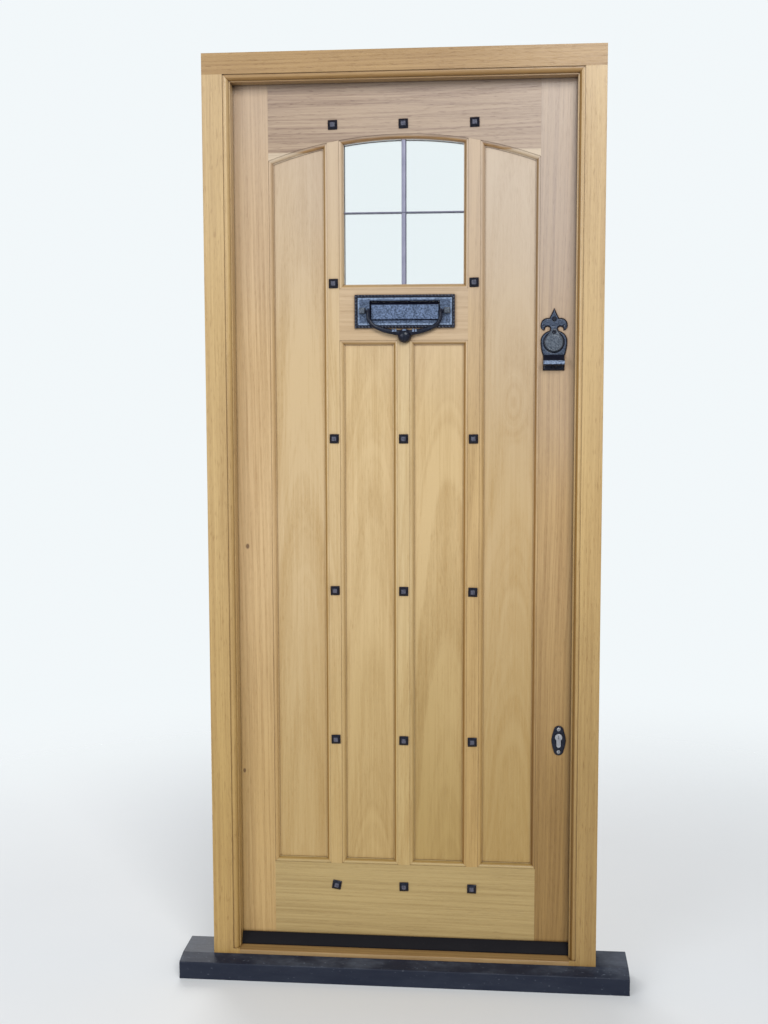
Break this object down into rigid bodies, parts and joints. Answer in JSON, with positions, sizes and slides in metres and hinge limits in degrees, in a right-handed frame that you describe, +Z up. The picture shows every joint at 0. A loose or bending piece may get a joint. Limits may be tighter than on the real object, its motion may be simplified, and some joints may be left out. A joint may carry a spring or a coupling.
{
  "type": "arched wooden door with frame",
  "caption": "Oak front door in its oak frame: arched head moulding, studded tall panels, small leaded light, iron knocker letter plate, latch and deadlock.",
  "frame": {"origin": "on the step under the sub-sill, midway between the jambs, in the plane of the frame's outside face", "axes": "+X to the right seen from outside, +Y into the house, +Z up"},
  "size_m": [1.067, 0.186, 2.167],
  "materials": {
    "oak": "satin varnish",
    "painted_wood": "worn dark paint",
    "black_iron": "hammered black",
    "steel": "satin",
    "latch_enamel": "satin black",
    "dark_metal": "dark satin",
    "spacer_metal": "mill",
    "lead": "dull lead grey",
    "glass": "clear",
    "seal": "matt"
  },
  "bodies": {
    "frame": {"sub_sill": "painted_wood", "oak_sill": "oak", "hinge_jamb": "oak", "lock_jamb": "oak", "frame_head": "oak", "frame_seals": "seal", "threshold_bar": "dark_metal", "threshold_seal": "seal", "hinge_frame_leaves": "steel", "hinge_pins": "steel", "frame_screws": "steel", "latch_keep": "latch_enamel", "strike_plate": "steel"},
    "leaf": {"bottom_rail": "oak", "centre_muntin": "oak", "cover_rivet": "black_iron", "deadlock_case": "steel", "glass_spacer": "spacer_metal", "glazing_beads": "oak", "hinge_door_leaves": "steel", "hinge_stile": "oak", "inner_escutcheon": "black_iron", "inner_glass": "glass", "latch_case": "latch_enamel", "latch_plate": "latch_enamel", "lead_cross": "lead", "leaf_screws": "steel", "left_low_panel": "oak", "left_muntin": "oak", "left_tall_panel": "oak", "letter_bolts": "steel", "letter_plate": "black_iron", "lock_stile": "oak", "mid_rail": "oak", "outer_escutcheon": "black_iron", "outer_glass": "glass", "profile_cylinder": "steel", "pull_plate": "black_iron", "pull_rivets": "black_iron", "right_low_panel": "oak", "right_muntin": "oak", "right_tall_panel": "oak", "rim_cylinder": "steel", "studs": "black_iron", "top_rail": "oak"},
    "letter_flap": {"letter_flap": "black_iron"},
    "knocker": {"knocker": "black_iron"},
    "keyhole_cover": {"keyhole_cover": "black_iron"},
    "rim_plug": {"rim_plug": "steel"},
    "latch_bolt": {"latch_bolt": "steel"},
    "latch_knob": {"latch_knob": "latch_enamel"},
    "latch_snib": {"latch_snib": "latch_enamel"},
    "outer_plug": {"outer_plug": "steel"},
    "inner_plug": {"inner_plug": "steel"},
    "lock_cam": {"lock_cam": "steel"},
    "deadbolt": {"deadbolt": "steel"}
  },
  "joints": [
    {"name": "door_swing", "type": "hinge", "parent": "frame", "child": "leaf", "pos_m": [-0.408, 0.098, 1], "axis": [0, 0, 1], "range_deg": [0, 105]},
    {"name": "letter_flap_swing", "type": "hinge", "parent": "leaf", "child": "letter_flap", "pos_m": [0.003, 0.051, 1.6052], "axis": [1, 0, 0], "range_deg": [0, 75], "stiffness_Nm_per_rad": 0.06, "springref_deg": -17.19},
    {"name": "knocker_lift", "type": "hinge", "parent": "leaf", "child": "knocker", "pos_m": [0.003, 0.0364, 1.5877], "axis": [-1, 0, 0], "range_deg": [0, 95]},
    {"name": "cover_swing", "type": "hinge", "parent": "leaf", "child": "keyhole_cover", "pos_m": [0.3465, 0.041, 1.5365], "axis": [0, 1, 0], "range_deg": [-110, 110]},
    {"name": "rim_key_turn", "type": "hinge", "parent": "leaf", "child": "rim_plug", "pos_m": [0.3465, 0.07, 1.513], "axis": [0, 1, 0], "range_deg": [-90, 90]},
    {"name": "knob_turn", "type": "hinge", "parent": "leaf", "child": "latch_knob", "pos_m": [0.3465, 0.12, 1.513], "axis": [0, 1, 0], "range_deg": [0, 50]},
    {"name": "latch_slide", "type": "slide", "parent": "leaf", "child": "latch_bolt", "axis": [1, 0, 0], "range_m": [0, 0.014]},
    {"name": "snib_slide", "type": "slide", "parent": "leaf", "child": "latch_snib", "axis": [0, 0, 1], "range_m": [0, 0.01]},
    {"name": "key_turn", "type": "hinge", "parent": "leaf", "child": "outer_plug", "pos_m": [0.3665, 0.055, 0.588], "axis": [0, 1, 0], "range_deg": [0, 360]},
    {"name": "cam_turn", "type": "hinge", "parent": "leaf", "child": "lock_cam", "pos_m": [0.3665, 0.07, 0.588], "axis": [0, 1, 0], "range_deg": [0, 360]},
    {"name": "inner_turn", "type": "hinge", "parent": "leaf", "child": "inner_plug", "pos_m": [0.3665, 0.085, 0.588], "axis": [0, 1, 0], "range_deg": [0, 360]},
    {"name": "deadbolt_slide", "type": "slide", "parent": "leaf", "child": "deadbolt", "axis": [1, 0, 0], "range_m": [0, 0.02]}
  ],
  "couplings": [
    {"joint": "knob_turn", "follows": "latch_slide", "rad_per_m": 62.3},
    {"joint": "key_turn", "follows": "deadbolt_slide", "rad_per_m": 314.15},
    {"joint": "cam_turn", "follows": "deadbolt_slide", "rad_per_m": 314.15}
  ]
}
